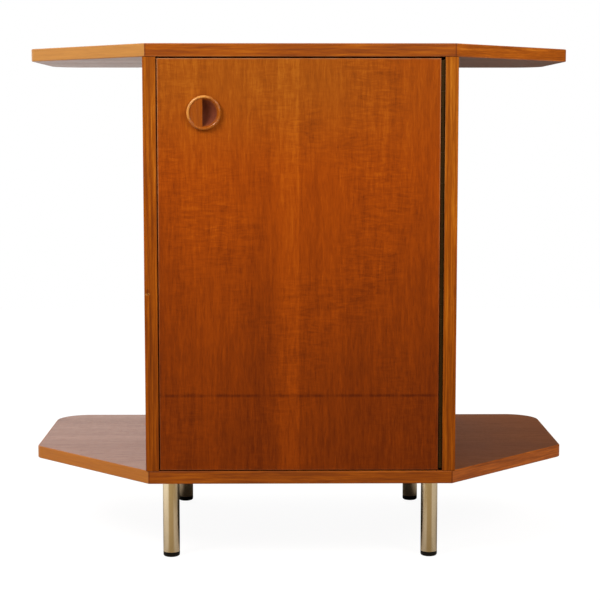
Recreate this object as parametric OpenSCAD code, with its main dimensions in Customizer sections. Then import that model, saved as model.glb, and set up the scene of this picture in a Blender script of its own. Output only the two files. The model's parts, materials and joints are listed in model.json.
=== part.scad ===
// Sewing table: a one-door cabinet between two wing-shaped boards, on four
// round metal legs. Millimetres, +Z up. The origin is on the floor under the
// middle of the boards, the front faces -Y, and the door is hinged at +X.

/* [Overall] */
// Height from the floor to the top surface
total_h = 735; // [600:1:900]
// Width from wing tip to wing tip
total_w = 800; // [640:1:960]
// Depth of the boards, front edge to back edge
total_d = 460; // [380:1:560]
// Width over the two side panels
body_w = 438; // [360:1:530]

/* [Boards] */
// Thickness of the top and bottom boards
board_t = 18.5; // [16:0.5:25]
// How far each front corner of a board stops inside the side panel's face
corner_inset = 3.5; // [0:0.5:8]
// Distance of the wing tips behind the front edge
tip_back = 190; // [120:1:230]
// Radius of the wing tips
tip_r = 16; // [3:0.5:25]
// Radius of the two back corners
back_r = 50; // [10:1:60]
// Thickness of the solid edge band on the boards
band_t = 2; // [1:0.5:4]

/* [Carcass] */
// Thickness of the side panels
panel_t = 18.5; // [16:0.5:25]
// Thickness of the lipping on panel, door and shelf edges
lipping_t = 1.5; // [0.6:0.1:3]
// Thickness of the back panel
back_t = 5; // [3:0.5:8]
// Depth of the back panel's rabbet along X
rabbet_w = 9; // [6:0.5:12]
// How far the back panel sits in from the back edge
back_inset = 2; // [0:0.5:6]
// Diameter of the dowels between boards and side panels
dowel_d = 8; // [6:0.5:10]
// Length of a dowel
dowel_len = 29; // [24:1:34]
// Length of a dowel inside a board
dowel_in_board = 11; // [8:1:13]
// Distance of the end dowels from the front and back edges
dowel_from_edge = 30; // [20:1:36]

/* [Shelf] */
// Thickness of the shelf
shelf_t = 16; // [12:0.5:22]
// Space between the door and the shelf's front edge
shelf_back_off = 16; // [8:1:40]
// Diameter of a shelf support's peg
support_d = 5; // [4:0.5:7]
// Length of a shelf support's peg in the panel
support_len = 8; // [6:0.5:12]

/* [Door] */
// Thickness of the door
door_t = 18.5; // [16:0.5:25]
// Gap between the door and the left side panel
gap_left = 1.5; // [1:0.1:3]
// Gap above the door
gap_top = 2; // [1:0.1:4]
// Gap below the door
gap_bottom = 1.5; // [1:0.1:4]
// Gap between the door and the right side panel, which holds the hinge
gap_hinge = 6; // [5.8:0.1:8]

/* [Hinge] */
// Diameter of the hinge knuckles
knuckle_d = 5.2; // [4.4:0.1:5.6]
// Diameter of the hinge pin
pin_d = 2; // [1.6:0.1:2.4]
// Distance of the pin behind the door's front face
pin_back = 1.8; // [1.2:0.1:2.2]
// Thickness of a hinge leaf
leaf_t = 1; // [0.8:0.1:1.2]
// Number of knuckles, shared by both leaves
knuckles = 27; // [15:2:35]
// Number of screws in each leaf
leaf_screws = 7; // [4:1:10]

/* [Knob] */
// Diameter of the knob
knob_d = 48; // [40:1:58]
// How far the knob stands out of the door
knob_out = 6; // [5:0.5:9]
// Width of the knob's rim
knob_rim = 3.5; // [2.5:0.5:5]
// Depth of the finger recess below the rim
knob_dish = 12.5; // [9:0.5:13]
// Depth of the round pocket in the door that holds the knob
knob_seat = 12; // [11:0.5:13]
// Distance of the knob's centre from the door's left edge
knob_from_edge = 65; // [45:1:120]
// Distance of the knob's centre from the door's top edge
knob_from_top = 75; // [45:1:150]

/* [Thread rack] */
// Height of the rack's board
rack_h = 90; // [70:1:110]
// Thickness of the rack's board
rack_t = 8; // [6:0.5:12]
// Space between the rack and each upright edge of the door
rack_margin = 37; // [30:1:60]
// Diameter of a thread peg
peg_d = 6; // [4:0.5:8]
// Length of a thread peg in front of the rack
peg_len = 38; // [25:1:45]
// Number of pegs in a row
pegs = 6; // [3:1:7]

/* [Legs] */
// Height of the bottom board's underside above the floor
leg_h = 116.5; // [90:1:160]
// Diameter of a leg tube
tube_d = 24; // [20:0.5:30]
// Wall of a leg tube
tube_wall = 1.5; // [1:0.1:3]
// Distance of a leg's centre from the side panel's outer face
leg_from_side = 32; // [30:1:60]
// Distance of a leg's centre from the front or back edge
leg_from_front = 50; // [40:1:90]
// Height of the foot cap that shows below the tube
cap_h = 7; // [5:0.5:12]
// Diameter of the leg's mounting plate
plate_d = 58; // [50:1:70]
// Thickness of the leg's mounting plate
plate_t = 2.5; // [2:0.5:4]

/* [Hidden] */
$fn = 48;

// How far a cut runs past the face it opens, the play of a rod in its hole,
// and the air left beyond the rod's end
cut = 1;
fit_slack = 0.05;
end_gap = 1;

// Heights and edges that the pieces share
half_body = body_w / 2;
front_y = -total_d / 2;
back_y = total_d / 2;
bottom_z = leg_h;
floor_z = leg_h + board_t;
ceiling_z = total_h - board_t;
inner_h = ceiling_z - floor_z;
inner_x = half_body - panel_t;

// Door
door_left = -inner_x + gap_left;
door_right = inner_x - gap_hinge;
door_w = door_right - door_left;
door_low = floor_z + gap_bottom;
door_high = ceiling_z - gap_top;
door_back = front_y + door_t;

// Back panel
slack = 0.5;
head_slack = 0.2;
back_front_y = back_y - back_inset - back_t;
brad_r = 0.8;
brad_len = 16;
brad_count = 6;

// Dowels
dowel_ys = [front_y + dowel_from_edge, 0, back_y - dowel_from_edge];

// Shelf
shelf_mid = (floor_z + ceiling_z) / 2;
shelf_low = shelf_mid - shelf_t / 2;
shelf_top = shelf_mid + shelf_t / 2;
shelf_front = door_back + shelf_back_off;
shelf_back_gap = 2;
shelf_back = back_front_y - shelf_back_gap;
shelf_half = inner_x - slack;
support_inset = 45;
support_ys = [shelf_front + support_inset, shelf_back - support_inset];
support_tab = [9, 12, 2];
support_sink = 1;
support_pitch = 32;

// Hinge
hinge_x = inner_x - gap_hinge / 2;
hinge_y = front_y + pin_back;
hinge_margin = 3;
hinge_low = door_low + hinge_margin;
hinge_len = door_high - door_low - 2 * hinge_margin;
knuckle_r = knuckle_d / 2;
knuckle_pitch = hinge_len / knuckles;
knuckle_gap = 0.3;
pin_r = pin_d / 2;
pin_slack = 0.05;
pin_head_out = 0.9;
pin_head_r = pin_r + pin_head_out;
pin_head_h = 0.8;
leaf_knuckle_gap = 0.3;
leaf_back_gap = 1;
leaf_start = hinge_y + knuckle_r + leaf_knuckle_gap;
leaf_end = door_back - leaf_back_gap;
leaf_screw_y = (leaf_start + leaf_end) / 2;
leaf_screw_r = 1.25;
leaf_head_r = 2.2;
leaf_screw_len = 13;

// Knob
knob_x = door_left + knob_from_edge;
knob_z = door_high - knob_from_top;
knob_r = knob_d / 2;
knob_lip = 5;
spigot_r = knob_r - knob_lip;
spigot_slack = 0.1;
spigot_len = knob_seat - slack;
knob_edge_r = 2.5;
knob_face_drop = 1.2;
dish_r = knob_r - knob_rim;
dish_sphere_r = (dish_r * dish_r + knob_dish * knob_dish) / (2 * knob_dish);
dish_centre = knob_out - knob_dish + dish_sphere_r;
grip_edge = 2;
grip_undercut = 6;
grip_lip_t = 3.3;
knob_screw_r = 1.75;
knob_screw_head_r = 3.5;
knob_screw_head_h = 2;
knob_base = spigot_len + knob_out - knob_dish;
knob_screw_cover = 1.5;
knob_screw_in = knob_base - knob_screw_cover;
screw_tip_gap = 0.5;

// Magnetic catch, on the left panel at the knob's height
magnet = [6, 10, 26];
pole_t = 1.2;
pole_out = 0.6;
pole_depth = 12;
pocket_slack = 0.1;
pocket_w = magnet[0] + 2 * pole_t + pocket_slack;
pocket_h = magnet[2] + 2 * pocket_slack;
housing_wall = 1.8;
housing_w = pocket_w + 2 * housing_wall;
housing_d = 20;
housing_h = 32;
ear_h = 10;
ear_t = 4;
strike_t = 1.2;
strike_gap = 0.2;
strike_inset = 0.8;
strike_h = 44;
pole_front = door_back + strike_t + strike_gap;
housing_front = pole_front + pole_out;
housing_x = -inner_x + housing_w / 2;
strike_left = door_left + strike_inset;
strike_right = housing_x + housing_w / 2;
strike_x = (strike_left + strike_right) / 2;
catch_screw_r = 1.5;
catch_head_r = 2.9;
catch_head_h = 1.8;
catch_screw_len = 11;
ear_screw_z = housing_h / 2 + ear_h / 2;
strike_screw_inset = 5;
strike_screw_z = strike_h / 2 - strike_screw_inset;
strike_screw_r = 1.25;
strike_head_r = 2.3;
strike_screw_len = 12;

// Thread rack on the door
rack_mid = (shelf_top + knob_z - knob_r) / 2;
rack_left = door_left + rack_margin;
rack_w = door_w - 2 * rack_margin;
peg_pitch = rack_w / pegs;
peg_rise = rack_h / 4;
peg_slack = 0.05;
rack_screw_r = 1.75;
rack_head_r = 3.4;
rack_screw_len = 18;
rack_screw_inset = 10;
rack_screw_x = rack_w / 2 - rack_screw_inset;

// Legs
tube_r = tube_d / 2;
bore_r = tube_r - tube_wall;
plate_low = bottom_z - plate_t;
plug_h = 10;
stud_r = 4;
thread_slack = 0.05;
stud_in_tube = 9;
boss_r = 7;
boss_h = 8;
boss_slack = 0.2;
boss_end = 1;
cap_edge_r = 3;
cap_plug_h = 14;
cap_plug_slack = 0.1;
plate_hole_inset = 7.5;
plate_hole_pcd = plate_d - 2 * plate_hole_inset;
plate_screw_r = 2;
plate_head_r = 3.8;
plate_head_h = 2;
plate_screw_len = 14;
leg_x = half_body - leg_from_side;
leg_y = total_d / 2 - leg_from_front;

// Each leg's name and its side: [name, x sign, y sign]
LEGS = [
  ["front_left", -1, -1],
  ["front_right", 1, -1],
  ["rear_left", -1, 1],
  ["rear_right", 1, 1]
];
LEG_PIECES = ["leg_plate", "leg_stud", "leg_tube", "foot_cap"];

// Unit vector along v
function unit(v) = v / norm(v);

// v turned anticlockwise by an angle
function turned(v, a) = [v[0] * cos(a) - v[1] * sin(a), v[0] * sin(a) + v[1] * cos(a)];

// The corner p between a and b, moved inwards so both edges shift by d
function inner_corner(a, p, b, d) =
  let (n1 = turned(unit(p - a), 90), n2 = turned(unit(b - p), 90))
  p + d * (n1 + n2) / (1 + n1 * n2);

// Points that round the corner p between a and b with radius r
function corner_arc(a, p, b, r) =
  let (
    e1 = unit(p - a),
    e2 = unit(b - p),
    turn = acos(e1 * e2),
    steps = max(2, round(turn / 9)),
    start = p - e1 * r * tan(turn / 2),
    centre = start + turned(e1, 90) * r
  )
  [for (i = [0 : steps]) centre + turned(start - centre, turn * i / steps)];

// Corners of a board, anticlockwise from the front left: [point, radius]
board_corners = [
  [[-half_body + corner_inset, front_y], 1],
  [[half_body - corner_inset, front_y], 1],
  [[total_w / 2, front_y + tip_back], tip_r],
  [[total_w / 2, back_y], back_r],
  [[-total_w / 2, back_y], back_r],
  [[-total_w / 2, front_y + tip_back], tip_r]
];

// Outline of a board, shrunk by d on every side
function board_outline(d) =
  let (
    n = len(board_corners),
    sharp = [for (i = [0 : n - 1]) inner_corner(
      board_corners[(i + n - 1) % n][0], board_corners[i][0], board_corners[(i + 1) % n][0], d)]
  )
  [for (i = [0 : n - 1])
    each corner_arc(sharp[(i + n - 1) % n], sharp[i], sharp[(i + 1) % n],
      max(board_corners[i][1] - d, 0.3))];

// A box between two corners
module block(low, high) {
  translate(low) cube(high - low);
}

// A rod along X, from x = 0 to x = len
module rod_x(r, len) {
  rotate([0, 90, 0]) cylinder(r = r, h = len);
}

// A rod along Y, from y = 0 to y = len
module rod_y(r, len) {
  rotate([-90, 0, 0]) cylinder(r = r, h = len);
}

// A countersunk screw along +Z, its flat head face at z = 0
module sunk_screw(r, head_r, len) {
  cylinder(r1 = head_r, r2 = r, h = head_r - r);
  cylinder(r = r, h = len);
}

// A pan-head screw along +Z: its head lies below z = 0
module pan_screw(r, head_r, head_h, len) {
  translate([0, 0, -head_h]) cylinder(r = head_r, h = head_h);
  cylinder(r = r, h = len);
}

// A board's core inside its edge band, with its dowel holes on one face
module board_core(low_z, holes_up) {
  difference() {
    translate([0, 0, low_z]) linear_extrude(board_t) polygon(board_outline(band_t));
    dowel_holes(holes_up ? low_z + board_t - dowel_in_board - end_gap : low_z - cut,
      dowel_in_board + end_gap + cut);
  }
}

// The band round a board
module edge_band(low_z) {
  translate([0, 0, low_z]) linear_extrude(board_t) difference() {
    polygon(board_outline(0));
    polygon(board_outline(band_t));
  }
}

// Holes at every dowel of one board, from low_z upwards
module dowel_holes(low_z, depth) {
  for (side = [-1, 1], y = dowel_ys)
    translate([side * (half_body - panel_t / 2), y, low_z])
      cylinder(d = dowel_d, h = depth);
}

module top_board() {
  color("peru") board_core(ceiling_z, false);
}

module top_edge_band() {
  color("sandybrown") edge_band(ceiling_z);
}

module bottom_board() {
  color("peru") difference() {
    board_core(bottom_z, true);
    for (leg = LEGS) translate([leg[1] * leg_x, leg[2] * leg_y, bottom_z - cut])
      cylinder(r = boss_r + boss_slack, h = cut + boss_h + boss_end);
    for (leg = LEGS) plate_screw_places(leg) cylinder(r = plate_screw_r, h = plate_screw_len);
  }
}

module bottom_edge_band() {
  color("sandybrown") edge_band(bottom_z);
}

// A side panel without its lipping; side is -1 for left and 1 for right
module side_panel(side) {
  difference() {
    block([side > 0 ? inner_x : -half_body, front_y + lipping_t, floor_z],
      [side > 0 ? half_body : -inner_x, back_y, ceiling_z]);
    // Rabbet for the back panel
    block([side > 0 ? inner_x - cut : -inner_x - rabbet_w, back_front_y, floor_z - cut],
      [side > 0 ? inner_x + rabbet_w : -inner_x + cut, back_y + cut, ceiling_z + cut]);
    dowel_holes(floor_z - cut, dowel_len - dowel_in_board + end_gap + cut);
    dowel_holes(ceiling_z - dowel_len + dowel_in_board - end_gap,
      dowel_len - dowel_in_board + end_gap + cut);
    support_places(side, [-1, 0, 1]) translate([-cut, 0, 0]) rod_x(support_d / 2, support_len + cut);
    back_brad_rods(side);
  }
}

module side_panel_left() {
  color("peru") difference() {
    side_panel(-1);
    catch_screw_places() rotate([0, -90, 0]) cylinder(r = catch_screw_r, h = ear_t + catch_screw_len);
  }
}

module side_panel_right() {
  color("peru") difference() {
    side_panel(1);
    leaf_screw_places() rod_x(leaf_screw_r, leaf_screw_len);
  }
}

// The strip on a side panel's front edge
module side_lipping(side) {
  block([side > 0 ? inner_x : -half_body, front_y, floor_z],
    [side > 0 ? half_body : -inner_x, front_y + lipping_t, ceiling_z]);
}

module side_lipping_left() {
  color("sienna") side_lipping(-1);
}

module side_lipping_right() {
  color("sienna") side_lipping(1);
}

module back_panel() {
  color("burlywood") difference() {
    block([-inner_x - rabbet_w + slack, back_front_y, floor_z + slack],
      [inner_x + rabbet_w - slack, back_front_y + back_t, ceiling_z - slack]);
    for (side = [-1, 1]) back_brad_rods(side);
  }
}

// Brads of one side: they run from the back panel's rear face into the rabbet,
// along -Y
module back_brad_rods(side) {
  for (i = [0 : brad_count - 1])
    translate([side * (inner_x + rabbet_w / 2), back_front_y + back_t, brad_z(i)])
      rotate([90, 0, 0]) cylinder(r = brad_r, h = brad_len);
}

// Height of brad number i
function brad_z(i) = floor_z + inner_h * (i + 0.5) / brad_count;

module back_panel_brads() {
  color("silver") for (side = [-1, 1]) back_brad_rods(side);
}

module carcass_dowels() {
  color("wheat")
    for (side = [-1, 1], y = dowel_ys, low = [floor_z - dowel_in_board,
        ceiling_z - dowel_len + dowel_in_board])
      translate([side * (half_body - panel_t / 2), y, low])
        cylinder(d = dowel_d - 2 * fit_slack, h = dowel_len);
}

// Puts its child, which points along +X, into the panel at the shelf supports
module support_places(side, rows) {
  for (y = support_ys, row = rows)
    translate([side * inner_x, y, shelf_low - support_tab[2] - support_d / 2 + row * support_pitch])
      rotate([0, 0, side > 0 ? 0 : 180]) children();
}

module shelf() {
  color("peru") block([-shelf_half, shelf_front + lipping_t, shelf_low],
    [shelf_half, shelf_back, shelf_top]);
}

module shelf_lipping() {
  color("sienna") block([-shelf_half, shelf_front, shelf_low],
    [shelf_half, shelf_front + lipping_t, shelf_top]);
}

// Each support is a peg in the panel with a flat tab under the shelf
module shelf_supports() {
  color("silver") for (side = [-1, 1]) support_places(side, [0]) {
    translate([-support_tab[0], 0, 0])
      rod_x(support_d / 2 - fit_slack, support_len + support_tab[0] - end_gap);
    translate([-support_tab[0], -support_tab[1] / 2, support_d / 2 - support_sink])
      cube([support_tab[0], support_tab[1], support_tab[2] + support_sink]);
  }
}

// The door's core inside its lipping, with the knob's pocket and screw holes
module door_panel() {
  color("chocolate") difference() {
    block([door_left + lipping_t, front_y, door_low + lipping_t],
      [door_right - lipping_t, door_back, door_high - lipping_t]);
    translate([knob_x, front_y - cut, knob_z]) rod_y(spigot_r + spigot_slack, knob_seat + cut);
    translate([knob_x, front_y, knob_z]) rod_y(knob_screw_r, door_t + cut);
    translate([knob_x, door_back - knob_screw_head_h, knob_z])
      rod_y(knob_screw_head_r + head_slack, knob_screw_head_h + cut);
    leaf_screw_places() mirror([1, 0, 0]) translate([gap_hinge, 0, 0]) rod_x(leaf_screw_r, leaf_screw_len);
    strike_screw_places() rotate([90, 0, 0]) cylinder(r = strike_screw_r, h = strike_screw_len);
    rack_screw_places() rotate([90, 0, 0]) cylinder(r = rack_screw_r, h = rack_screw_len);
  }
}

module door_lipping() {
  color("sienna") difference() {
    block([door_left, front_y, door_low], [door_right, door_back, door_high]);
    block([door_left + lipping_t, front_y - cut, door_low + lipping_t],
      [door_right - lipping_t, door_back + cut, door_high - lipping_t]);
    leaf_screw_places() mirror([1, 0, 0]) translate([gap_hinge, 0, 0]) rod_x(leaf_screw_r, leaf_screw_len);
  }
}

// Profile of the knob's outside: radius against height over the door
function knob_profile() = concat(
  [[0, -spigot_len], [spigot_r, -spigot_len], [spigot_r, 0], [knob_r, 0]],
  [for (a = [0 : 15 : 90]) [knob_r - knob_edge_r * (1 - cos(a)), knob_out - knob_edge_r * (1 - sin(a))]],
  [[0, knob_out]]
);

// The knob along +Z, seated at z = 0: a turned disc whose right half is dished
module knob_shape() {
  difference() {
    rotate_extrude() polygon(knob_profile());
    translate([0, 0, knob_out - knob_face_drop]) cylinder(r = dish_r, h = knob_face_drop + cut);
    intersection() {
      translate([0, 0, dish_centre]) sphere(r = dish_sphere_r);
      union() {
        block([-grip_edge, -knob_r, -knob_r], [knob_r, knob_r, knob_out + cut]);
        block([-grip_edge - grip_undercut, -knob_r, -knob_r],
          [knob_r, knob_r, knob_out - knob_face_drop - grip_lip_t]);
      }
    }
    translate([0, 0, -spigot_len - cut]) cylinder(r = knob_screw_r, h = knob_screw_in + cut);
  }
}

module knob() {
  color("sienna") translate([knob_x, front_y, knob_z]) rotate([90, 0, 0]) knob_shape();
}

module knob_screw() {
  color("silver") translate([knob_x, door_back - knob_screw_head_h, knob_z]) rotate([90, 0, 0])
    pan_screw(knob_screw_r - fit_slack, knob_screw_head_r, knob_screw_head_h,
      door_t - knob_screw_head_h - spigot_len + knob_screw_in - screw_tip_gap);
}

// Height of hinge screw number i
function leaf_screw_z(i) = hinge_low + hinge_len * (i + 0.5) / leaf_screws;

// Puts its child at each hinge screw, on the right panel's inner face
module leaf_screw_places() {
  for (i = [0 : leaf_screws - 1]) translate([inner_x, leaf_screw_y, leaf_screw_z(i)]) children();
}

// One leaf about the pin's axis: side is 1 for the panel's and -1 for the
// door's, and first is the number of its lowest knuckle
module hinge_leaf(side, first) {
  half_gap = gap_hinge / 2;
  difference() {
    union() {
      leaf_plate(side, leaf_start, hinge_low, hinge_len);
      for (i = [first : 2 : knuckles - 1]) {
        low = hinge_low + i * knuckle_pitch + knuckle_gap / 2;
        high = knuckle_pitch - knuckle_gap;
        translate([hinge_x, hinge_y, low]) cylinder(r = knuckle_r, h = high);
        leaf_plate(side, hinge_y, low, high);
      }
    }
    translate([hinge_x, hinge_y, hinge_low - cut])
      cylinder(r = pin_r + pin_slack, h = hinge_len + 2 * cut);
    for (i = [0 : leaf_screws - 1])
      translate([hinge_x + side * (half_gap - leaf_t), leaf_screw_y, leaf_screw_z(i)])
        rotate([0, side * 90, 0]) leaf_hole();
  }
}

// The flat strip of a leaf, from a depth y, against the wood
module leaf_plate(side, from_y, low, high) {
  outer = gap_hinge / 2;
  inner = outer - leaf_t;
  x = side > 0 ? hinge_x + inner : hinge_x - outer;
  translate([x, from_y, low]) cube([leaf_t, leaf_end - from_y, high]);
}

// The countersunk hole through a leaf, along +Z from the leaf's open face
module leaf_hole() {
  cylinder(r1 = leaf_head_r, r2 = leaf_head_r - leaf_t, h = leaf_t);
  translate([0, 0, -cut]) cylinder(r = leaf_screw_r, h = leaf_t + 2 * cut);
}

module hinge_leaf_frame() {
  color("darkgoldenrod") hinge_leaf(1, 0);
}

module hinge_leaf_door() {
  color("darkgoldenrod") hinge_leaf(-1, 1);
}

module hinge_pin() {
  color("goldenrod") translate([hinge_x, hinge_y, hinge_low]) {
    translate([0, 0, -pin_head_h]) cylinder(r = pin_r, h = hinge_len + 2 * pin_head_h);
    translate([0, 0, -pin_head_h]) cylinder(r = pin_head_r, h = pin_head_h);
    translate([0, 0, hinge_len]) cylinder(r = pin_head_r, h = pin_head_h);
  }
}

// The screws of one leaf
module hinge_screws(side) {
  for (i = [0 : leaf_screws - 1])
    translate([hinge_x + side * (gap_hinge / 2 - leaf_t), leaf_screw_y, leaf_screw_z(i)])
      rotate([0, side * 90, 0])
        sunk_screw(leaf_screw_r - fit_slack, leaf_head_r - fit_slack, leaf_screw_len);
}

module hinge_screws_frame() {
  color("goldenrod") hinge_screws(1);
}

module hinge_screws_door() {
  color("goldenrod") hinge_screws(-1);
}

// The catch's case: a body with a front pocket, and an ear above and below
module catch_housing() {
  color("ivory") difference() {
    union() {
      block([-inner_x, housing_front, knob_z - housing_h / 2],
        [-inner_x + housing_w, housing_front + housing_d, knob_z + housing_h / 2]);
      block([-inner_x, housing_front, knob_z - housing_h / 2 - ear_h],
        [-inner_x + ear_t, housing_front + housing_d, knob_z + housing_h / 2 + ear_h]);
    }
    block([housing_x - pocket_w / 2, housing_front - cut, knob_z - pocket_h / 2],
      [housing_x + pocket_w / 2, pole_front + pole_depth, knob_z + pocket_h / 2]);
    catch_screw_places() rotate([0, -90, 0]) translate([0, 0, -cut])
      cylinder(r = catch_screw_r, h = ear_t + 2 * cut);
  }
}

module catch_magnet() {
  color("dimgray") block(
    [housing_x - magnet[0] / 2, pole_front + pole_depth - magnet[1], knob_z - magnet[2] / 2],
    [housing_x + magnet[0] / 2, pole_front + pole_depth, knob_z + magnet[2] / 2]);
}

module catch_poles() {
  color("silver") for (side = [-1, 1])
    translate([housing_x + side * (magnet[0] + pole_t) / 2 - pole_t / 2, pole_front, knob_z - magnet[2] / 2])
      cube([pole_t, pole_depth, magnet[2]]);
}

// Puts its child at the open face of each of the catch's ears
module catch_screw_places() {
  for (side = [-1, 1])
    translate([-inner_x + ear_t, housing_front + housing_d / 2, knob_z + side * ear_screw_z]) children();
}

module catch_screws() {
  color("silver") catch_screw_places() rotate([0, -90, 0])
    pan_screw(catch_screw_r - fit_slack, catch_head_r, catch_head_h, ear_t + catch_screw_len - end_gap);
}

// Puts its child at each of the strike's screws, on the strike's open face
module strike_screw_places() {
  for (side = [-1, 1])
    translate([strike_x, door_back + strike_t, knob_z + side * strike_screw_z]) children();
}

module catch_strike() {
  color("silver") difference() {
    block([strike_left, door_back, knob_z - strike_h / 2],
      [strike_right, door_back + strike_t, knob_z + strike_h / 2]);
    strike_screw_places() rotate([90, 0, 0]) {
      cylinder(r1 = strike_head_r, r2 = strike_head_r - strike_t, h = strike_t);
      translate([0, 0, -cut]) cylinder(r = strike_screw_r, h = strike_t + 2 * cut);
    }
  }
}

module strike_screws() {
  color("silver") strike_screw_places() rotate([90, 0, 0])
    sunk_screw(strike_screw_r - fit_slack, strike_head_r - fit_slack, strike_screw_len);
}

// Puts its child at each peg, on the rack's face towards the door
module peg_places() {
  for (i = [0 : pegs - 1], side = [-1, 1])
    translate([rack_left + peg_pitch * (i + 0.5), door_back, rack_mid + side * peg_rise]) children();
}

// Puts its child at each of the rack's screws, on the rack's open face
module rack_screw_places() {
  for (side = [-1, 1])
    translate([rack_left + rack_w / 2 + side * rack_screw_x, door_back + rack_t, rack_mid]) children();
}

module thread_rack() {
  color("burlywood") difference() {
    block([rack_left, door_back, rack_mid - rack_h / 2],
      [rack_left + rack_w, door_back + rack_t, rack_mid + rack_h / 2]);
    peg_places() translate([0, -cut, 0]) rod_y(peg_d / 2, rack_t + 2 * cut);
    rack_screw_places() rotate([90, 0, 0]) {
      cylinder(r1 = rack_head_r, r2 = rack_screw_r, h = rack_head_r - rack_screw_r);
      translate([0, 0, -cut]) cylinder(r = rack_screw_r, h = rack_t + 2 * cut);
    }
  }
}

module thread_pegs() {
  color("wheat") peg_places() rod_y(peg_d / 2 - peg_slack, rack_t + peg_len);
}

module rack_screws() {
  color("silver") rack_screw_places() rotate([90, 0, 0])
    sunk_screw(rack_screw_r - fit_slack, rack_head_r - fit_slack, rack_screw_len);
}

// Puts its child at the three screws of a leg's plate, on the board's underside
module plate_screw_places(leg) {
  for (i = [0 : 2]) translate([leg[1] * leg_x, leg[2] * leg_y, bottom_z])
    rotate([0, 0, i * 120 + 90 * leg[2]]) translate([plate_hole_pcd / 2, 0, 0]) children();
}

// A round plate with a threaded boss that reaches up into the board
module leg_plate(leg) {
  color("silver") difference() {
    translate([leg[1] * leg_x, leg[2] * leg_y, plate_low]) {
      cylinder(d = plate_d, h = plate_t);
      cylinder(r = boss_r, h = plate_t + boss_h);
    }
    translate([leg[1] * leg_x, leg[2] * leg_y, plate_low - cut])
      cylinder(r = stud_r, h = plate_t + boss_h + 2 * cut);
    plate_screw_places(leg) translate([0, 0, -plate_t - cut])
      cylinder(r = plate_screw_r, h = plate_t + 2 * cut);
  }
}

// The threaded stud that joins a leg to its plate
module leg_stud(leg) {
  color("silver") translate([leg[1] * leg_x, leg[2] * leg_y, plate_low - stud_in_tube])
    cylinder(r = stud_r - thread_slack, h = stud_in_tube + plate_t + boss_h);
}

// A tube with a threaded plug closing its top
module leg_tube(leg) {
  color("tan") translate([leg[1] * leg_x, leg[2] * leg_y, cap_h]) difference() {
    cylinder(r = tube_r, h = plate_low - cap_h);
    translate([0, 0, -cut]) cylinder(r = bore_r, h = plate_low - cap_h - plug_h + cut);
    cylinder(r = stud_r, h = plate_low - cap_h + cut);
  }
}

// Profile of a foot cap: a disc with a round lower edge, and a plug above it
function cap_profile() = concat(
  [[0, 0]],
  [for (a = [-90 : 15 : 0]) [tube_r - cap_edge_r * (1 - cos(a)), cap_edge_r * (1 + sin(a))]],
  [[tube_r, cap_h], [bore_r - cap_plug_slack, cap_h],
   [bore_r - cap_plug_slack, cap_h + cap_plug_h], [0, cap_h + cap_plug_h]]
);

module foot_cap(leg) {
  color("black") translate([leg[1] * leg_x, leg[2] * leg_y, 0]) rotate_extrude() polygon(cap_profile());
}

module leg_plate_screws() {
  color("silver") for (leg = LEGS) plate_screw_places(leg) translate([0, 0, -plate_t])
    pan_screw(plate_screw_r - fit_slack, plate_head_r, plate_head_h, plate_t + plate_screw_len - end_gap);
}

top_board();
top_edge_band();
bottom_board();
bottom_edge_band();
side_panel_left();
side_panel_right();
side_lipping_left();
side_lipping_right();
back_panel();
back_panel_brads();
carcass_dowels();
shelf();
shelf_lipping();
shelf_supports();
door_panel();
door_lipping();
knob();
knob_screw();
hinge_leaf_frame();
hinge_leaf_door();
hinge_pin();
hinge_screws_frame();
hinge_screws_door();
catch_housing();
catch_magnet();
catch_poles();
catch_screws();
catch_strike();
strike_screws();
thread_rack();
thread_pegs();
rack_screws();
leg_plate_screws();
for (leg = LEGS) {
  leg_plate(leg);
  leg_stud(leg);
  leg_tube(leg);
  foot_cap(leg);
}
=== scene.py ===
# %% [markdown]
# # A sewing table in teak
# The table is a small cabinet between two wing-shaped boards, on four metal
# tube legs. The CAD model already holds every size, every fit and the door's
# hinge. This lesson adds what the eye expects: rounded edges, a turned knob,
# a hinge with real knuckles, and wood, metal and plastic that look like it.
# The frame comes first, because all places are read from it.

# %% Load the frame
import bmesh
import bpy
import json
import math
from mathutils import Matrix, Vector


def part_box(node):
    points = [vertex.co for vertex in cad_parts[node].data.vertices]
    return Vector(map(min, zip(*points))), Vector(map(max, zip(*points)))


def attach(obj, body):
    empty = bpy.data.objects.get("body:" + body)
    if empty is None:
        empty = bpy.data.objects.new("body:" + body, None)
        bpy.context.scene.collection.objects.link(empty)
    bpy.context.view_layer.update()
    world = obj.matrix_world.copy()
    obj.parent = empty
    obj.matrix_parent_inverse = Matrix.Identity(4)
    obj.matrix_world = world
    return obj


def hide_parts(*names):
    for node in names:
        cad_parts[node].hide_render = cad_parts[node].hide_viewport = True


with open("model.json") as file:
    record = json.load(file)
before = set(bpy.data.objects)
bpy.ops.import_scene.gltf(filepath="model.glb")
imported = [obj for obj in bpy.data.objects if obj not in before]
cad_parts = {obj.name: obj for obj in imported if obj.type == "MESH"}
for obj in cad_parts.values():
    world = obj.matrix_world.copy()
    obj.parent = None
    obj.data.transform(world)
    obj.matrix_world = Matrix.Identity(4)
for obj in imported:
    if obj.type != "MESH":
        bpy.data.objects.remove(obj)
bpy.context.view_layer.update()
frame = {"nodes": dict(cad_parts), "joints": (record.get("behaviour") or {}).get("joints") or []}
MM = 0.001

# %% [markdown]
# ## Camera
# The table is seen from the front, a little above half its height, through a
# long lens. A long lens keeps the upright edges nearly parallel, and the small
# tilt down shows the top of the lower wings but only the edge of the top.

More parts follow.
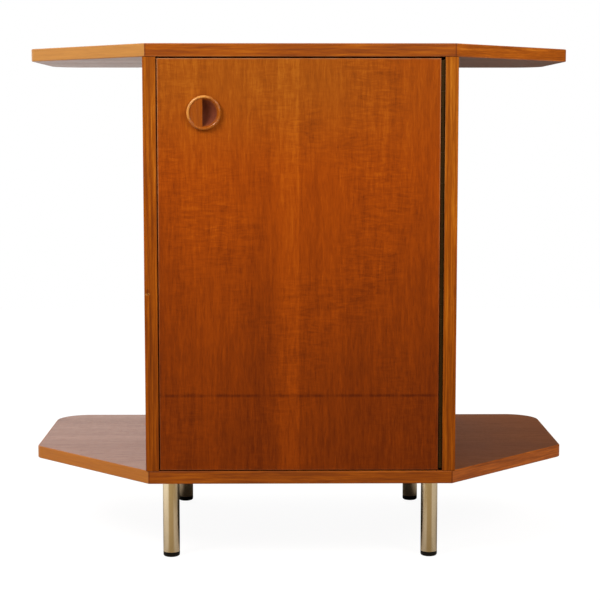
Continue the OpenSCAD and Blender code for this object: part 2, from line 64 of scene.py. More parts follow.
# %% Camera
eye = Vector((-0.026, -2.5377, 0.6255))
turn_right = math.atan(0.01085)
tilt_down = 0.10651
camera_data = bpy.data.cameras.new("camera")
camera_data.sensor_width = 36
camera_data.lens = 99.35
camera = bpy.data.objects.new("camera", camera_data)
camera.location = eye
camera.rotation_euler = (math.pi / 2 - tilt_down, 0, -turn_right)
bpy.context.scene.collection.objects.link(camera)
bpy.context.scene.camera = camera
bpy.context.scene.view_settings.view_transform = "Standard"
print("camera", tuple(round(v, 3) for v in eye))

# %% [markdown]
# ## Shader maths as sentences
# A material is a chain of nodes. Written node by node it is long and hard to
# read, so a small class wraps one output socket and lets Python's own signs
# add the Math nodes: `1 - mask * 0.3` makes two of them. Every other kind of
# node comes from the one method `node`.

# %% A socket that works in sums
class Wire:
    """One output socket of a node tree, which can be used like a number."""

    def __init__(self, tree, socket):
        self.tree = tree
        self.socket = socket

    def node(self, kind, settings=None, inputs=None, out=0):
        """Adds a node: its settings first, then a value or a Wire for each input."""
        made = self.tree.nodes.new(kind)
        for name, value in (settings or {}).items():
            if name == "stops":
                set_stops(made.color_ramp, value)
            else:
                setattr(made, name, value)
        for key, value in (inputs or {}).items():
            if isinstance(value, Wire):
                self.tree.links.new(value.socket, made.inputs[key])
            else:
                made.inputs[key].default_value = value
        return Wire(self.tree, made.outputs[out]) if made.outputs else None

    def math(self, operation, *values):
        return self.node("ShaderNodeMath", {"operation": operation}, dict(enumerate(values)))

    def __add__(self, other):
        return self.math("ADD", self, other)

    def __sub__(self, other):
        return self.math("SUBTRACT", self, other)

    def __rsub__(self, other):
        return self.math("SUBTRACT", other, self)

    def __mul__(self, other):
        return self.math("MULTIPLY", self, other)

    def __abs__(self):
        return self.math("ABSOLUTE", self)

    __radd__ = __add__
    __rmul__ = __mul__


def set_stops(ramp, stops):
    """Gives a colour ramp its stops: a list of (position, (red, green, blue))."""
    while len(ramp.elements) < len(stops):
        ramp.elements.new(0.5)
    for element, (position, colour) in zip(ramp.elements, stops):
        element.position = position
        element.color = (*colour, 1)


# %% [markdown]
# A few small helpers are used by nearly every finish: a noise that is stretched
# along the grain, a soft step that turns a value into a mask, a colour mix,
# and the start and the end of a material. Patterns read Object coordinates,
# which are the table's own, so they keep their size and place on every piece.

# %% Helpers for every finish
def noise(place, stretch, detail=3, roughness=0.5, distortion=0.0, shift=0.0):
    """Noise from 0 to 1. stretch is how many features there are per metre on each axis."""
    spread = place.node("ShaderNodeMapping", None,
                        {"Vector": place, "Scale": stretch, "Location": (shift, shift, shift)})
    return place.node("ShaderNodeTexNoise", None, {
        "Vector": spread, "Scale": 1.0, "Detail": detail,
        "Roughness": roughness, "Distortion": distortion})


def step(value, low, high, to_low=0.0, to_high=1.0):
    """A soft step: to_low below low, to_high above high."""
    return value.node("ShaderNodeMapRange", {"interpolation_type": "SMOOTHSTEP"}, {
        "Value": value, "From Min": low, "From Max": high, "To Min": to_low, "To Max": to_high})


def mix(factor, first, second, blend="MIX"):
    """Mixes two colours by a factor that is a Wire."""
    return factor.node("ShaderNodeMix", {"data_type": "RGBA", "blend_type": blend},
                       {0: factor, 6: first, 7: second}, out=2)


def rgb(red, green, blue):
    return (red, green, blue, 1)


def new_finish(name):
    """A new material, and the place on the piece as a Wire."""
    finish = bpy.data.materials.new(name)
    finish.use_nodes = True
    coordinates = finish.node_tree.nodes.new("ShaderNodeTexCoord")
    return finish, Wire(finish.node_tree, coordinates.outputs["Object"])


def connect(finish, values):
    """Sets or links the sockets of a finish's shader, which completes the finish."""
    shader = finish.node_tree.nodes["Principled BSDF"]
    for key, value in values.items():
        if isinstance(value, Wire):
            value.tree.links.new(value.socket, shader.inputs[key])
        else:
            shader.inputs[key].default_value = value
    print(finish.name, len(finish.node_tree.nodes), "nodes")
    return finish


def bumped(height, strength, distance):
    """A surface that rises and falls with height, by up to distance in metres."""
    return height.node("ShaderNodeBump", None, {
        "Strength": strength, "Distance": distance, "Height": height})


def axes_of(place):
    """The three coordinates of a place, as Wires."""
    return [place.node("ShaderNodeSeparateXYZ", None, {0: place}, out=i) for i in range(3)]


# %% [markdown]
# ## Studio
# The floor is a plain pale sheet and the air behind it is white, so the table
# stands alone. What the table reflects is another matter: polished edges only
# look polished when there is something bright on one side and something darker
# on the other. So the sky is white for the camera, but it lights the table
# like a room with a window on its left.

# %% The room that lights the table
def room_light():
    world = bpy.data.worlds.new("studio")
    bpy.context.scene.world = world
    world.use_nodes = True
    tree = world.node_tree
    tree.nodes.clear()
    coordinates = tree.nodes.new("ShaderNodeTexCoord")
    way = Wire(tree, coordinates.outputs["Generated"])
    right, back, up = axes_of(way)
    window = step(right, -0.04, 0.06, 1.0, 0.0) * step(back, -0.3, 0.4)
    ceiling = step(up, 0.2, 0.9)
    front = step(back, -0.9, -0.3, 1.0, 0.0)
    glow = window * 1.25 + ceiling * 0.4 + front * 0.1 + 0.05
    tint = mix(window, rgb(1.0, 0.94, 0.86), rgb(1.0, 1.0, 0.98))
    room = glow.node("ShaderNodeBackground", None, {"Color": tint, "Strength": glow})
    white = glow.node("ShaderNodeBackground", None, {"Color": rgb(1, 1, 1), "Strength": 1.0})
    seen = glow.node("ShaderNodeLightPath", None, None, out="Is Camera Ray")
    both = glow.node("ShaderNodeMixShader", None, {0: seen, 1: room, 2: white})
    glow.node("ShaderNodeOutputWorld", None, {"Surface": both})


room_light()
print("world", bpy.context.scene.world.name)

# %% [markdown]
# The floor glows a little for the camera, so that only a faint shadow shows.
# For everything else it is a floor with painted light and shade, because the
# metal legs mirror it: a painted pool of light far to the left, pale at both
# sides, brown in a wedge that opens forwards from each leg, and painted shade,
# nearly black, under the cabinet, where no light gets in.

# %% Floor finish
BOARD_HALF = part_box("side_panel_right")[1].x
BOARD_FRONT = -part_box("side_lipping_right")[0].y
leg_low, leg_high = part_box("leg_tube_front_right")
LEG_X = (leg_low.x + leg_high.x) / 2
LEG_Y = -(leg_low.y + leg_high.y) / 2
WEDGE = 0.6


def floor_finish():
    finish = bpy.data.materials.new("pale_floor")
    finish.use_nodes = True
    tree = finish.node_tree
    tree.nodes.clear()
    seen = Wire(tree, tree.nodes.new("ShaderNodeLightPath").outputs["Is Camera Ray"])
    paper = seen.node("ShaderNodeBsdfDiffuse", None, {"Color": rgb(0.14, 0.14, 0.14)})
    glow = seen.node("ShaderNodeEmission", None, {"Color": rgb(1, 1, 1), "Strength": 0.94})
    pale = seen.node("ShaderNodeAddShader", None, {0: paper, 1: glow})
    place = Wire(tree, tree.nodes.new("ShaderNodeTexCoord").outputs["Object"])
    across, back, _ = axes_of(place)
    off_centre = abs(across)
    beside = step(off_centre, BOARD_HALF, BOARD_HALF + 60 * MM)
    # painted shade: the floor is nearly black under the cabinet
    under = step(back, -BOARD_FRONT + 60 * MM, -BOARD_FRONT + 160 * MM) * (1 - beside)
    off_leg = abs(off_centre - LEG_X)
    ahead = step(off_leg + (back + LEG_Y) * WEDGE, -20 * MM, 40 * MM, 1.0, 0.0)
    # painted light: the floor is paler far to the left, where a window would light it
    sunny = step(across, -700 * MM, -350 * MM, 1.0, 0.0)
    pale_boards = mix(sunny, rgb(0.60, 0.57, 0.53), rgb(0.86, 0.85, 0.83))
    boards = mix(ahead, pale_boards, rgb(0.37, 0.30, 0.18))
    boards = mix(under, boards, rgb(0.09, 0.075, 0.06))
    matt = seen.node("ShaderNodeBsdfDiffuse", None, {"Color": boards})
    both = seen.node("ShaderNodeMixShader", None, {0: seen, 1: matt, 2: pale})
    seen.node("ShaderNodeOutputMaterial", None, {"Surface": both})
    print(finish.name, len(tree.nodes), "nodes")
    return finish


# %% Lay the floor
FLOOR_SIZE = 6.0


def lay_floor(finish):
    bpy.ops.object.select_all(action="DESELECT")
    bpy.ops.mesh.primitive_plane_add(size=FLOOR_SIZE, location=(0, 0, 0))
    floor = bpy.context.object
    floor.name = "floor"
    floor.data.materials.append(finish)
    print(floor.name, FLOOR_SIZE, "m square")


lay_floor(floor_finish())

# %% [markdown]
# Two large soft lamps stand in front of the table. The warm one on the left is
# the stronger, so the table's left is lighter and its edges shade softly.

# %% Lamps
def soft_lamp(name, place, aim, size, power, colour):
    """A square lamp that the camera doesn't see."""
    data = bpy.data.lights.new(name, "AREA")
    data.shape = "SQUARE"
    data.size = size
    data.energy = power
    data.color = colour
    lamp = bpy.data.objects.new(name, data)
    lamp.location = place
    lamp.rotation_euler = (Vector(aim) - Vector(place)).to_track_quat("-Z", "Y").to_euler()
    lamp.visible_camera = False
    bpy.context.scene.collection.objects.link(lamp)


soft_lamp("key", (-1.25, -1.25, 1.65), (0, 0, 0.62), 0.8, 27, (1.0, 0.95, 0.88))
soft_lamp("fill", (1.15, -1.5, 1.5), (0, 0, 0.6), 0.9, 17, (1.0, 0.96, 0.9))

# %% [markdown]
# ## Teak
# Teak veneer has broad bands of tone along the grain, fine streaks inside
# them, short dark pores, and across the grain a faint ripple where the fibres
# wave. Each is a noise with its own stretch. The grain runs up on the panels
# and the door, and from side to side on the boards, so the stretch turns with
# it. An image could show grain too, but noise never repeats and needs no map.

# %% Grain
def stretched(along, across, grain):
    """Features per metre, for a grain along axis 0, 1 or 2."""
    return tuple(along if axis == grain else across for axis in range(3))


def teak_tone(place, grain, shift=0.0):
    """The tone of teak, about 0.5, without its pores."""
    bands = noise(place, stretched(1.0, 16, grain), 3, 0.55, 0.3, shift)
    streaks = noise(place, stretched(26, 250, grain), 4, 0.65, 0.5, shift)
    fibres = noise(place, stretched(70, 900, grain), 2, 0.6, 0.0, shift)
    return (bands - 0.5) * 0.5 + (streaks - 0.5) * 0.62 + (fibres - 0.5) * 0.38 + 0.5


def ripple_of(place, grain, shift=0.0):
    """The waves across the grain, about 0, in patches."""
    patches = step(noise(place, stretched(5, 8, grain), 2, 0.5, 0.0, shift + 3), 0.38, 0.62)
    return (noise(place, stretched(210, 42, grain), 3, 0.6, 1.0, shift) - 0.5) * patches


def pores_of(place, grain):
    """The pores as a mask: 1 in a pore."""
    return step(noise(place, stretched(75, 1400, grain), 2, 0.6), 0.6, 0.72)


def bump_of(value, centre, width):
    """A mask that is 1 at centre and falls to 0 at width on both sides."""
    return step(abs(value - centre), 0.0, width, 1.0, 0.0)


RUBBED_AND_HIGHLIGHT = rgb(0.46, 0.19, 0.08)
GRIME = rgb(0.05, 0.014, 0.003)


def wear_highlight_and_dirt(colour, place):
    """Pales the faces marked wear, which is wear with a painted highlight, most where hands reach, and
    darkens those marked dirt.
    """
    wear = place.node("ShaderNodeAttribute", {"attribute_name": "wear"}, None, out="Fac")
    dirt = place.node("ShaderNodeAttribute", {"attribute_name": "dirt"}, None, out="Fac")
    reach = step(axes_of(place)[2], 250 * MM, 650 * MM, 0.15, 1.0)
    patchy = step(noise(place, (60, 60, 60), 3), 0.3, 0.6, 0.4, 1.0)
    # the marked arrises are paled: partly wear, partly a painted highlight
    return mix(dirt, mix(wear * patchy * reach, colour, RUBBED_AND_HIGHLIGHT), GRIME)


# %% Teak veneer on the panels and boards
TEAK = [(0.0, (0.12, 0.024, 0.003)), (0.35, (0.21, 0.052, 0.006)),
        (0.6, (0.29, 0.080, 0.010)), (1.0, (0.42, 0.140, 0.020))]


def wood(finish, place, stops, tone, pores, roughness, gloss, tints=()):
    """Joins a tone and its pores to a colour, a gloss and a grain that can be felt.
    Each of the tints is a mask and the colour that it multiplies by."""
    colour = tone.node("ShaderNodeValToRGB", {"stops": stops}, {0: tone - pores * 0.2})
    for mask, tint in tints:
        colour = mix(mask, colour, tint, "MULTIPLY")
    return connect(finish, {
        "Base Color": wear_highlight_and_dirt(colour, place),
        "Roughness": roughness + pores * 0.3 - (tone - 0.5) * 0.25,
        "Specular IOR Level": gloss,
        "Normal": bumped(tone * 0.3 - pores, 0.25, 0.1 * MM)})


def teak_veneer(name, grain, shift=0.0):
    finish, place = new_finish(name)
    tone = teak_tone(place, grain, shift) + ripple_of(place, grain, shift) * 0.3
    return wood(finish, place, TEAK, tone, pores_of(place, grain), 0.36, 0.3)


veneer_up = teak_veneer("teak_veneer_up", 2, 0.0)
veneer_across = teak_veneer("teak_veneer_across", 0, 2.0)

# %% [markdown]
# The door is the face of the table, so it has a veneer of its own. It was
# pressed from two leaves that meet in the middle, with a paler strip beside
# the seam. The leaves are strongly rippled. The face darkens downwards, a
# shelf or a rug has rubbed a dark line across it low down, and beside the knob
# is a short scratch. At the top a yellow sheen is painted, strongest on the
# left. The inside of the door is plain, so all of that fades out a little way
# into the panel.

# %% Door veneer
door_low, door_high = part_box("door_lipping")
SEAM_X = -2 * MM
PALE_STRIP = 22 * MM
RUB_LINE_Z = 243 * MM
SCRATCH = Vector((-102 * MM, 0, 587 * MM))
DOOR_TEAK = [(0.0, (0.12, 0.017, 0.0012)), (0.35, (0.26, 0.042, 0.0016)),
             (0.6, (0.39, 0.067, 0.0024)), (1.0, (0.60, 0.135, 0.006))]


def door_veneer():
    finish, place = new_finish("door_veneer")
    across, back, height = axes_of(place)
    outside = step(back, door_low.y + 5 * MM, door_low.y + 6 * MM, 1.0, 0.0)
    calm_down = step(height, 150 * MM, 420 * MM, 0.3, 0.7)
    tone = teak_tone(place, 2, 5.0) + ripple_of(place, 2, 5.0) * calm_down
    pale = (step(across, SEAM_X - 2 * PALE_STRIP, SEAM_X - PALE_STRIP)
            * step(across, SEAM_X, SEAM_X + MM, 1.0, 0.0))
    seam = bump_of(across, SEAM_X, 1.2 * MM)
    darker_down = step(height, 100 * MM, 640 * MM, -0.28, 0.1)
    darker_right = step(across, -50 * MM, door_high.x, 0.0, -0.07)
    broken = step(noise(place, (60, 60, 8), 2), 0.38, 0.6)
    line = bump_of(height, RUB_LINE_Z, 3.6 * MM) * (broken * 0.6 + 0.4)
    reach = bump_of(across, SCRATCH.x, 14 * MM)
    scratch = bump_of(height + (across - SCRATCH.x) * 0.08, SCRATCH.z, 1.1 * MM) * reach
    figure = pale * 0.13 - seam * 0.08 + darker_down + darker_right
    tone = tone + (figure - line * 0.24 - scratch * 0.14) * outside
    # painted sheen: a yellow glare painted on the top of the face, strongest on the left
    painted_sheen = step(height, 540 * MM, 700 * MM) * step(across, 0.0, door_high.x, 1.0, 0.4) * outside
    return wood(finish, place, DOOR_TEAK, tone, pores_of(place, 2), 0.36, 0.1,
                [(painted_sheen, rgb(0.95, 1.32, 2.4))])


door_teak = door_veneer()

# %% [markdown]
# The edges are strips of solid teak, glued on. Their grain runs along the
# strip, so one finish serves a level strip in any direction, and one serves
# the upright strips. The strips on the left wings are much paler and yellower
# than the rest: partly paler wood from another board, partly painted light
# from the window side, with a painted glare on the top board's left wing. The
# right wings are painted lighter too. Painted light makes the top board's
# strips lighter than the bottom's, painted shade darkens the upright strips
# towards the floor, and a painted sheen yellows their tops. Where two strips
# meet at a front corner, the joint shows as a dark line. The left upright strip
# was knocked once, and the chip shows fresh wood below and a dark bruise above.

# %% Solid teak strips
EDGE_TEAK = [(0.0, (0.15, 0.029, 0.0012)), (0.35, (0.27, 0.056, 0.002)),
             (0.6, (0.39, 0.090, 0.0032)), (1.0, (0.62, 0.19, 0.012))]
CORNER_INSET = 3.5 * MM
front_corner_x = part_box("side_lipping_right")[1].x - CORNER_INSET
REAR_JOINT_Y = 178 * MM
lipping_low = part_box("side_lipping_left")[0]
CHIP = Vector((lipping_low.x + 4.6 * MM, lipping_low.y, 387 * MM))


def near(place, centre, size):
    """A mask that is 1 inside a ball about centre, stretched to size."""
    inverse = Vector(1 / v for v in size)
    shift = Vector(-c * i for c, i in zip(centre, inverse))
    moved = place.node("ShaderNodeMapping", None, {"Vector": place, "Scale": inverse, "Location": shift})
    away = place.node("ShaderNodeVectorMath", {"operation": "LENGTH"}, {0: moved}, out="Value")
    return step(away, 0.7, 1.1, 1.0, 0.0)


def strip_tone(place, coarse, fine, contrast=1.4):
    """The tone and the pores of a strip, from the stretch of its streaks and fibres."""
    streaks = noise(place, coarse, 4, 0.62, 0.5, 1.0)
    fibres = noise(place, fine, 3, 0.6, 0.1, 2.0)
    return (streaks - 0.5) * contrast + (fibres - 0.5) * 0.7 + 0.5, step(fibres, 0.62, 0.73)


def level_strip():
    finish, place = new_finish("teak_edge_level")
    across, back, height = axes_of(place)
    tone, pores = strip_tone(place, (11, 11, 300), (60, 60, 1400))
    # painted light: strips higher up are lighter, as light falls from above
    high = step(height, 200 * MM, 600 * MM)
    wing = step(back, REAR_JOINT_Y, REAR_JOINT_Y + 0.5 * MM, 1.0, 0.0)
    # the left wings: paler wood from another board, and painted light from the window side
    left = step(across, -front_corner_x - 0.5 * MM, -front_corner_x, 1.0, 0.0) * wing
    tone = (tone - 0.5) * (1 - left * 0.75) + 0.5
    pores = pores * (1 - left * 0.8)
    tone = tone + high * 0.09 - bump_of(abs(across), front_corner_x - 0.6 * MM, 1.5 * MM) * 0.4 - 0.08
    # painted light: the right wings are lighter
    right = step(across, front_corner_x, front_corner_x + 0.5 * MM) * wing
    # left * high is a painted glare on the top board's left wing
    return wood(finish, place, EDGE_TEAK, tone, pores, 0.4, 0.25,
                [(left, rgb(1.45, 2.1, 2.6)), (left * high, rgb(1.0, 1.33, 5.6)),
                 (right, rgb(1.5, 1.6, 2.5))])


def upright_strip():
    finish, place = new_finish("teak_edge_up")
    tone, pores = strip_tone(place, (300, 300, 7), (1400, 1400, 60), 1.9)
    across, _, height = axes_of(place)
    right = step(across, -BOARD_HALF / 2, BOARD_HALF / 2)
    # painted shade: the strip is darker towards the floor
    tone = tone + step(height, 100 * MM, 520 * MM, -0.22, 0.0)
    # painted sheen: the top of the strip is yellower
    painted_sheen = step(height, 500 * MM, 700 * MM)
    bruise = near(place, CHIP + Vector((0, 0, 4 * MM)), (2.5 * MM, 3 * MM, 3.5 * MM))
    fresh = near(place, CHIP, (3.6 * MM, 3 * MM, 1.9 * MM))
    return wood(finish, place, EDGE_TEAK, tone + right * 0.06 - bruise * 0.3, pores, 0.4, 0.12,
                [(right, rgb(1.06, 1.1, 1.0)), (painted_sheen, rgb(1.04, 1.16, 1.6)),
                 (fresh, rgb(1.6, 2.8, 14.0))])


edge_level = level_strip()
edge_up = upright_strip()

# %% [markdown]
# The knob is turned from one block. Its rim and its flat half are rubbed to a
# gloss by hands. The rim is tinted paler, partly for that gloss and partly as a
# painted highlight, which is strongest on its upper left. The scoop is end grain
# that has soaked up oil and dirt, and it also holds painted shade, so the wood
# darkens with the depth below the rim.

# %% Turned teak of the knob
knob_low, knob_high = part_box("knob")
knob_centre = (knob_low + knob_high) / 2
knob_r = (knob_high.x - knob_low.x) / 2


def turned_teak():
    finish, place = new_finish("turned_teak")
    grain = noise(place, (260, 260, 18), 4, 0.6, 0.4, 4.0)
    fibres = noise(place, (1400, 1400, 80), 2, 0.5)
    pores = step(fibres, 0.64, 0.75)
    # the scoop darkens with depth: oily end grain, and painted shade in the hollow
    depth = step(axes_of(place)[1], knob_low.y + 1.5 * MM, knob_low.y + 6 * MM)
    tone = (grain - 0.5) * 0.6 + (fibres - 0.5) * 0.4 + 0.52
    centred = place.node("ShaderNodeMapping", None, {
        "Vector": place, "Scale": (1, 0, 1), "Location": (-knob_centre.x, 0, -knob_centre.z)})
    away = centred.node("ShaderNodeVectorMath", {"operation": "LENGTH"}, {0: centred}, out="Value")
    # the rim is paler: gloss from hands, and a painted highlight
    rim = step(away, knob_r - 4 * MM, knob_r - 3 * MM) * (1 - depth)
    across, _, height = axes_of(centred)
    # painted highlight on the rim's upper left
    painted_rim_highlight = rim * step(height - across, 4 * MM, 24 * MM)
    return wood(finish, place, EDGE_TEAK, tone, pores, depth * 0.6 + 0.24, 0.5,
                [(depth, rgb(0.44, 0.29, 0.2)), (rim, rgb(1.15, 1.35, 1.9)),
                 (painted_rim_highlight, rgb(1.7, 2.7, 11.0))])


knob_teak = turned_teak()

# %% [markdown]
# ## The other woods
# The back panel and the thread rack are plywood, which is pale and plain. The
# pegs and dowels are beech, with the short dark flecks that beech always has.

# %% Plywood and beech
def plain_wood(name, stops, grain, fleck):
    finish, place = new_finish(name)
    figure = noise(place, stretched(3, 30, grain), 4, 0.6, 1.2)
    fibres = noise(place, stretched(20, 700, grain), 2, 0.5)
    flecks = step(noise(place, stretched(180, 1100, grain), 1, 0.5, 0.0, 3.0), 0.66, 0.74)
    tone = (figure - 0.5) * 0.9 + (fibres - 0.5) * 0.35 - flecks * fleck + 0.5
    colour = tone.node("ShaderNodeValToRGB", {"stops": stops}, {0: tone})
    return connect(finish, {
        "Base Color": colour,
        "Roughness": 0.62 - tone * 0.1,
        "Normal": bumped(fibres - flecks * 0.5, 0.2, 0.1 * MM)})


PLY = [(0.0, (0.30, 0.16, 0.07)), (0.5, (0.46, 0.28, 0.13)), (1.0, (0.60, 0.40, 0.21))]
BEECH = [(0.0, (0.36, 0.20, 0.10)), (0.5, (0.58, 0.37, 0.20)), (1.0, (0.70, 0.48, 0.29))]
plywood_up = plain_wood("plywood_up", PLY, 2, 0.06)
plywood_across = plain_wood("plywood_across", PLY, 0, 0.06)
beech_along = plain_wood("beech", BEECH, 1, 0.22)

# %% [markdown]
# ## Metals
# The legs are plated tube, given a warm, champagne tint that paints in the
# reflection of a warm room. Old plating is never perfectly even: it has faint
# drawn lines down the tube, and small dull spots where the floor mop reaches.
# The hinge is tarnished brass, darkened nearly to black with painted shade for
# the narrow gap beside the door, and the screws and plates are zinc.

# %% Plated, brass and zinc finishes
def metal(name, bright, dull, roughness, lines, spots):
    """A metal whose gloss varies with drawn lines and dull spots."""
    finish, place = new_finish(name)
    drawn = noise(place, lines, 3, 0.6)
    spotted = step(noise(place, (90, 90, 90), 4, 0.65, 0.0, 6.0), 0.55, 0.72) * spots
    colour = mix(spotted, rgb(*bright), rgb(*dull))
    return connect(finish, {
        "Base Color": colour,
        "Metallic": 1.0,
        "Roughness": roughness + drawn * 0.08 + spotted * 0.3,
        "Normal": bumped(drawn, 0.06, 0.05 * MM)})


# painted reflection: the plating's warm tint stands in for a warm room mirrored in it
leg_plating = metal("champagne_plating", (0.80, 0.68, 0.48), (0.32, 0.26, 0.18), 0.16,
                    (1400, 1400, 6), 0.12)
# painted shade: the brass is made nearly black, as shade for the narrow gap
brass = metal("dark_brass", (0.062, 0.033, 0.010), (0.028, 0.015, 0.006), 0.42, (300, 300, 300), 0.8)
zinc = metal("zinc", (0.58, 0.58, 0.60), (0.34, 0.34, 0.33), 0.30, (200, 200, 200), 0.5)

# %% [markdown]
# ## Plastics and the magnet
# The foot caps are soft black plastic with a fine moulded grain, the catch is
# ivory plastic, and the magnet is dark ferrite, a ceramic with a dusty face.

# %% Plastic and ferrite finishes
def moulded(name, colour, light, roughness, grit, depth, gloss=0.5):
    """A moulded piece: an even colour with faint clouds and a fine grain."""
    finish, place = new_finish(name)
    clouds = noise(place, (40, 40, 40), 3)
    fine = noise(place, (grit, grit, grit), 2)
    return connect(finish, {
        "Base Color": mix(clouds, rgb(*colour), rgb(*light)),
        "Roughness": roughness + (fine - 0.5) * 0.15,
        "Specular IOR Level": gloss,
        "Normal": bumped(fine, depth, 0.1 * MM)})


black_plastic = moulded("black_plastic", (0.003, 0.003, 0.003), (0.008, 0.0075, 0.007), 0.42,
                        2200, 0.15, 0.2)
ivory_plastic = moulded("ivory_plastic", (0.62, 0.55, 0.42), (0.72, 0.66, 0.53), 0.42, 1800, 0.08)
ferrite = moulded("ferrite", (0.03, 0.03, 0.032), (0.07, 0.068, 0.065), 0.7, 3000, 0.3)

# %% [markdown]
# ## Finishes for the pieces that the CAD model already has right
# Flat panels need no new shape, because their edges are covered by the strips.
# Small fittings that are plain rods or plates keep theirs too. Only their
# finish is changed, by giving the CAD piece another material.

# %% Paint the CAD pieces
def paint(finish, *nodes):
    for node in nodes:
        piece = frame["nodes"][node]
        piece.data.materials.clear()
        piece.data.materials.append(finish)
    print(finish.name, "on", len(nodes), "pieces")


LEGS = ("front_left", "front_right", "rear_left", "rear_right")
paint(veneer_across, "top_board", "bottom_board", "shelf")
paint(veneer_up, "side_panel_left", "side_panel_right")
paint(door_teak, "door_panel")
paint(plywood_up, "back_panel")
paint(beech_along, "carcass_dowels")
paint(zinc, "back_panel_brads", "shelf_supports", "knob_screw", "catch_poles", "catch_strike",
      *("leg_stud_" + leg for leg in LEGS))
paint(ferrite, "catch_magnet")
paint(brass, "hinge_pin")

# %% [markdown]
# ## Working in edit mode
# Every new piece starts as a primitive, is shaped in edit mode, and ends with
# its place in its mesh. These helpers do what a hand does: clear the
# selection, add a block or a rod at its size and place, pick faces or edges,
# and put a finished piece in the frame.

# %% Start a piece
def clear_selection():
    if bpy.context.object and bpy.context.object.mode != "OBJECT":
        bpy.ops.object.mode_set(mode="OBJECT")
    bpy.ops.object.select_all(action="DESELECT")


def begin(name):
    """Names the new primitive and opens it in edit mode with nothing selected."""
    piece = bpy.context.object
    piece.name = name
    bpy.ops.object.transform_apply(location=True, rotation=True, scale=True)
    bpy.ops.object.mode_set(mode="EDIT")
    bpy.ops.mesh.select_all(action="DESELECT")
    return piece


def start_block(name, low, high):
    """A block between two corners."""
    clear_selection()
    low, high = Vector(low), Vector(high)
    bpy.ops.mesh.primitive_cube_add(size=1, location=(low + high) / 2, scale=high - low)
    return begin(name)


TURN = {1: (math.pi / 2, 0, 0), 2: (0, 0, 0)}


def start_rod(name, centre, radius, length, axis, sides):
    """A round rod about its centre, along axis 1 or 2."""
    clear_selection()
    bpy.ops.mesh.primitive_cylinder_add(
        vertices=sides, radius=radius, depth=length, location=centre, rotation=TURN[axis])
    return begin(name)


# %% Pick faces and edges
CLOSE = 0.01 * MM


def middle(item):
    return sum((v.co for v in item.verts), Vector()) / len(item.verts)


def pick(kind, test):
    """In edit mode, selects only the VERT, EDGE or FACE items that pass test."""
    bpy.ops.mesh.select_mode(type=kind)
    bpy.ops.mesh.select_all(action="DESELECT")
    mesh = bpy.context.object.data
    form = bmesh.from_edit_mesh(mesh)
    items = {"VERT": form.verts, "EDGE": form.edges, "FACE": form.faces}[kind]
    found = [item for item in items if test(item)]
    for item in found:
        item.select_set(True)
    form.select_flush_mode()
    bmesh.update_edit_mesh(mesh)
    if not found:
        raise ValueError("nothing was picked on " + bpy.context.object.name)


def facing(axis, sign):
    """A test for faces that point along an axis."""
    return lambda face: face.normal[axis] * sign > 0.99


def level(axis, value):
    """A test for items that lie at one value of an axis."""
    return lambda item: all(abs(v.co[axis] - value) < CLOSE for v in item.verts)


def at_either_end(axis, low, high):
    """A test for items that lie at one end or the other of a box."""
    return lambda item: level(axis, low[axis])(item) or level(axis, high[axis])(item)


def along(edge, axis):
    """Whether an edge runs along an axis."""
    run = edge.verts[1].co - edge.verts[0].co
    return abs(run[axis]) > 0.99 * run.length


# %% Round edges and mark the new faces
def round_off(radius, segments=3, **marks):
    """Bevels the selected edges, and writes each mark, wear or dirt, on the new faces."""
    bpy.ops.mesh.bevel(offset_type="OFFSET", offset=radius, segments=segments,
                       profile=0.5, affect="EDGES", clamp_overlap=False)
    mesh = bpy.context.object.data
    form = bmesh.from_edit_mesh(mesh)
    for mark, amount in marks.items():
        layer = form.faces.layers.float.get(mark) or form.faces.layers.float.new(mark)
        for face in form.faces:
            if face.select:
                face[layer] = amount
    bmesh.update_edit_mesh(mesh)


# %% Finish a piece
def complete(piece, finish, body, nodes, smooth=35):
    """Shades a piece and gives it its finish and body, and hides the CAD nodes it stands for."""
    if bpy.context.object.mode != "OBJECT":
        bpy.ops.object.mode_set(mode="OBJECT")
    bpy.ops.object.shade_smooth_by_angle(angle=math.radians(smooth))
    weigh = piece.modifiers.new("flat_faces", "WEIGHTED_NORMAL")
    weigh.keep_sharp = True
    bpy.ops.object.modifier_apply(modifier="flat_faces")
    piece.data.materials.clear()
    piece.data.materials.append(finish)
    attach(piece, body)
    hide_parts(*nodes)
    print(piece.name, len(piece.data.polygons), "faces")


def join_copies(name, model, places):
    """Copies a model to each place, each with its own mesh, and joins them to one piece."""
    clear_selection()
    for place in places:
        copy = model.copy()
        copy.data = model.data.copy()
        copy.data.transform(place)
        bpy.context.scene.collection.objects.link(copy)
        copy.select_set(True)
    bpy.context.view_layer.objects.active = copy
    bpy.ops.object.join()
    bpy.data.objects.remove(model)
    piece = bpy.context.object
    piece.name = name
    return piece


def combine(piece, other, operation):
    """Cuts the other shape out of a piece, or joins it on, and throws the other away.
    The manifold solver is for joining, because it keeps the joined shell closed."""
    clear_selection()
    piece.select_set(True)
    bpy.context.view_layer.objects.active = piece
    change = piece.modifiers.new("change", "BOOLEAN")
    change.operation = operation
    change.solver = "MANIFOLD" if operation == "UNION" else "EXACT"
    change.object = other
    bpy.ops.object.modifier_apply(modifier="change")
    bpy.data.objects.remove(other)


def carve(piece, cutter):
    combine(piece, cutter, "DIFFERENCE")


# %% [markdown]
# ## The strips round the boards
# Each board has a 2 mm strip of solid teak all the way round. It is the
# board's outline that matters: square at the back with large round corners,
# cut off at the front by two slanting edges. A block has its two front
# corners cut away by bisecting, the upright corners are bevelled to their
# radii, and the top and bottom arrises are eased, as a maker does with fine
# paper. Last the inside is opened, so that a thin ring is left.

# %% Board strip
TIP_BACK = 190 * MM
TIP_R = 16 * MM
BACK_R = 50 * MM
BAND_T = 2 * MM
ARRIS = 1.5 * MM


